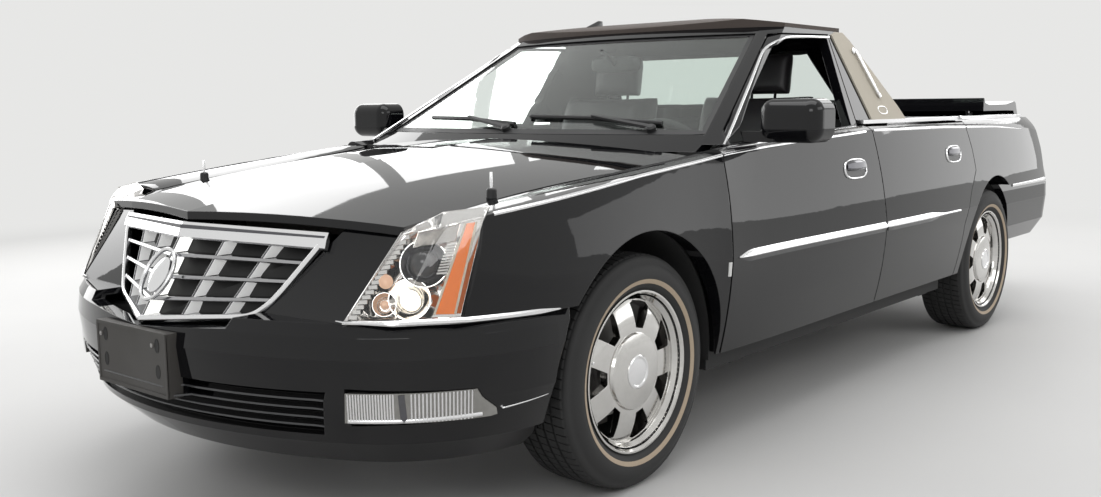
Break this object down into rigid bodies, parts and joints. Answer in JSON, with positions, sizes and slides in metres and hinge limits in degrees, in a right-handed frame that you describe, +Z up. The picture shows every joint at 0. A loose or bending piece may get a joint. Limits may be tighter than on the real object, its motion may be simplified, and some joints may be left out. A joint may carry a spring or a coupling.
{
  "type": "flower car",
  "caption": "Black saloon-based funeral flower car with a short vinyl-topped cab, an open stainless bed behind it and a low raised rear deck.",
  "frame": {"origin": "on the ground, under the middle of the length, on the car's centre plane", "axes": "+X forward, +Y to the car's left, +Z up"},
  "size_m": [5.273, 2.244, 1.4628],
  "materials": {
    "body_paint": "gloss",
    "underbody_coat": "matte",
    "chassis_steel": "matte",
    "brake_iron": "satin",
    "exhaust_steel": "satin",
    "clear_glass": "gloss",
    "roof_vinyl": "matte",
    "sail_vinyl": "matte",
    "seat_leather": "satin",
    "cabin_plastic": "matte",
    "bed_stainless": "satin",
    "bright_chrome": "gloss",
    "lamp_lens": "gloss",
    "tail_lens": "gloss",
    "tyre_rubber": "matte"
  },
  "bodies": {
    "chassis": {"bed_rails": "bed_stainless", "cab_shell": "body_paint", "dashboard": "cabin_plastic", "engine_block": "chassis_steel", "exhaust_system": "exhaust_steel", "floor_pan": "underbody_coat", "flower_bed": "bed_stainless", "fog_lamps": "lamp_lens", "front_bumper": "body_paint", "front_fender_left": "body_paint", "front_fender_right": "body_paint", "front_structure": "underbody_coat", "front_suspension": "chassis_steel", "fuel_tank": "underbody_coat", "grille": "bright_chrome", "headlamps": "lamp_lens", "quarter_panel_left": "body_paint", "quarter_panel_right": "body_paint", "rear_bumper": "body_paint", "rear_structure": "underbody_coat", "rear_suspension": "chassis_steel", "rear_window": "clear_glass", "roof": "roof_vinyl", "sail_panels": "sail_vinyl", "seats": "seat_leather", "steering_wheel": "cabin_plastic", "tail_lamps": "tail_lens", "windscreen": "clear_glass"},
    "hood": {"hood": "body_paint"},
    "boot_lid": {"boot_lid": "body_paint"},
    "front_door_left": {"front_door_left": "body_paint", "door_mirror_left": "body_paint"},
    "rear_door_left": {"rear_door_left": "body_paint"},
    "front_knuckle_left": {"front_knuckle_left": "chassis_steel"},
    "front_wheel_left": {"front_wheel_left": "bright_chrome", "front_tyre_left": "tyre_rubber", "front_brake_disc_left": "brake_iron"},
    "rear_wheel_left": {"rear_wheel_left": "bright_chrome", "rear_tyre_left": "tyre_rubber", "rear_brake_disc_left": "brake_iron"},
    "front_door_right": {"front_door_right": "body_paint", "door_mirror_right": "body_paint"},
    "rear_door_right": {"rear_door_right": "body_paint"},
    "front_knuckle_right": {"front_knuckle_right": "chassis_steel"},
    "front_wheel_right": {"front_wheel_right": "bright_chrome", "front_tyre_right": "tyre_rubber", "front_brake_disc_right": "brake_iron"},
    "rear_wheel_right": {"rear_wheel_right": "bright_chrome", "rear_tyre_right": "tyre_rubber", "rear_brake_disc_right": "brake_iron"}
  },
  "joints": [
    {"name": "hood_hinge", "type": "hinge", "parent": "chassis", "child": "hood", "pos_m": [1.15, 0, 0.94], "axis": [0, -1, 0], "range_deg": [0, 55]},
    {"name": "boot_lid_hinge", "type": "hinge", "parent": "chassis", "child": "boot_lid", "pos_m": [-1.856, 0, 1.05], "axis": [0, 1, 0], "range_deg": [0, 60]},
    {"name": "front_door_left_hinge", "type": "hinge", "parent": "chassis", "child": "front_door_left", "pos_m": [1.08, 0.924, 0.545], "axis": [0, 0, -1], "range_deg": [0, 65]},
    {"name": "rear_door_left_hinge", "type": "hinge", "parent": "chassis", "child": "rear_door_left", "pos_m": [-0.08, 0.924, 0.545], "axis": [-0.045, 0, -0.999], "range_deg": [0, 60]},
    {"name": "steering_left", "type": "hinge", "parent": "chassis", "child": "front_knuckle_left", "pos_m": [1.5685, 0.735, 0.18], "axis": [0, -0.2716, 0.9624], "range_deg": [-30, 30]},
    {"name": "front_door_right_hinge", "type": "hinge", "parent": "chassis", "child": "front_door_right", "pos_m": [1.08, -0.924, 0.545], "axis": [0, 0, 1], "range_deg": [0, 65]},
    {"name": "rear_door_right_hinge", "type": "hinge", "parent": "chassis", "child": "rear_door_right", "pos_m": [-0.08, -0.924, 0.545], "axis": [0.045, 0, 0.999], "range_deg": [0, 60]},
    {"name": "steering_right", "type": "hinge", "parent": "chassis", "child": "front_knuckle_right", "pos_m": [1.5685, -0.735, 0.18], "axis": [0, 0.2716, 0.9624], "range_deg": [-30, 30]},
    {"name": "front_wheel_left_spin", "type": "hinge", "parent": "front_knuckle_left", "child": "front_wheel_left", "pos_m": [1.5685, 0.7875, 0.345], "axis": [0, 1, 0], "continuous": true},
    {"name": "rear_wheel_left_spin", "type": "hinge", "parent": "chassis", "child": "rear_wheel_left", "pos_m": [-1.3675, 0.791, 0.345], "axis": [0, 1, 0], "continuous": true},
    {"name": "front_wheel_right_spin", "type": "hinge", "parent": "front_knuckle_right", "child": "front_wheel_right", "pos_m": [1.5685, -0.7875, 0.345], "axis": [0, 1, 0], "continuous": true},
    {"name": "rear_wheel_right_spin", "type": "hinge", "parent": "chassis", "child": "rear_wheel_right", "pos_m": [-1.3675, -0.791, 0.345], "axis": [0, 1, 0], "continuous": true}
  ],
  "couplings": [
    {"joint": "steering_right", "follows": "steering_left", "ratio": 1}
  ]
}
